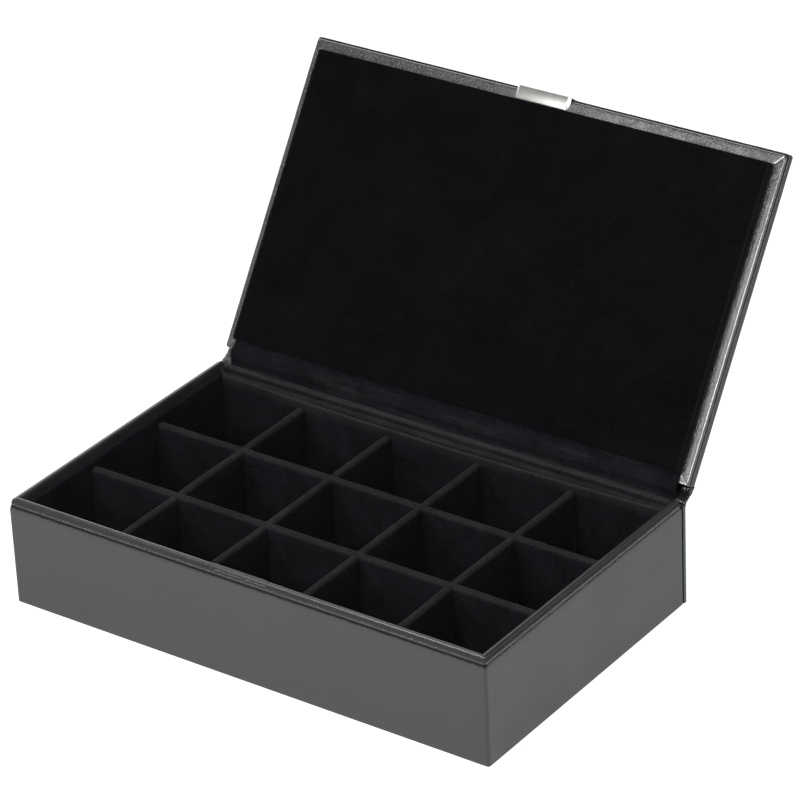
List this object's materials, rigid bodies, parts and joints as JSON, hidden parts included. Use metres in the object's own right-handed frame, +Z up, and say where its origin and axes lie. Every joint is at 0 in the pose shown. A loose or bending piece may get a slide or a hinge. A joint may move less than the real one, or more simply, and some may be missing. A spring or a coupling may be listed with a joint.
{
  "type": "compartment jewellery box",
  "caption": "Leather-covered jewellery box with a hinged, padded lid, a magnetic clip closure and a velvet insert divided into square cells.",
  "frame": {"origin": "middle of the footprint, on the surface the box stands on", "axes": "+X along the width to the viewer's right, +Y from the front towards the hinge, +Z up"},
  "size_m": [0.241, 0.234, 0.1736],
  "materials": {
    "board": "grey-brown compressed board, hidden under leather and velvet",
    "card": "stiff card, hidden",
    "tray_leather": "fine-grained black leather, satin, wrinkled at the rim bead",
    "rim_leather": "smooth black leather strip with a soft sheen",
    "spine_leather": "fine-grained black leather",
    "base_leather": "plain black leather, matt",
    "hinge_leather": "black leather creased at the joint",
    "lid_leather": "fine-grained black leather, satin",
    "border_leather": "black leather border with a pebbled sheen",
    "velvet": "short-pile black velvet",
    "hinge_velvet": "short-pile black velvet over a soft joint",
    "pad_velvet": "short-pile black velvet over thin padding",
    "pad_foam": "thin soft padding, hidden",
    "clip_steel": "satin nickel-plated steel",
    "magnet_steel": "plated magnet strip, hidden under the rim leather"
  },
  "bodies": {
    "tray": {"base_board": "board", "base_cover": "base_leather", "front_wall": "board", "back_wall": "board", "left_wall": "board", "right_wall": "board", "closure_magnet": "magnet_steel", "side_cover": "tray_leather", "rim_lining": "rim_leather", "spine_board": "board", "spine_cover": "spine_leather", "liner_front": "velvet", "liner_back": "velvet", "liner_left": "velvet", "liner_right": "velvet", "floor_pad": "velvet", "long_divider_front": "velvet", "long_divider_rear": "velvet", "short_divider_1": "velvet", "short_divider_2": "velvet", "short_divider_3": "velvet", "short_divider_4": "velvet", "hinge_leather": "hinge_leather", "hinge_velvet": "hinge_velvet"},
    "lid": {"lid_board": "board", "lid_infill": "card", "lid_cover": "lid_leather", "border_card": "card", "border_leather": "border_leather", "pad_board": "card", "pad_foam": "pad_foam", "pad_velvet": "pad_velvet", "closure_clip": "clip_steel"}
  },
  "joints": [
    {"name": "lid_hinge", "type": "hinge", "parent": "tray", "child": "lid", "pos_m": [0, 0.07376, 0.05034], "axis": [1, 0, 0], "range_deg": [0, 123.2], "deforming": ["hinge_leather", "hinge_velvet"]}
  ]
}
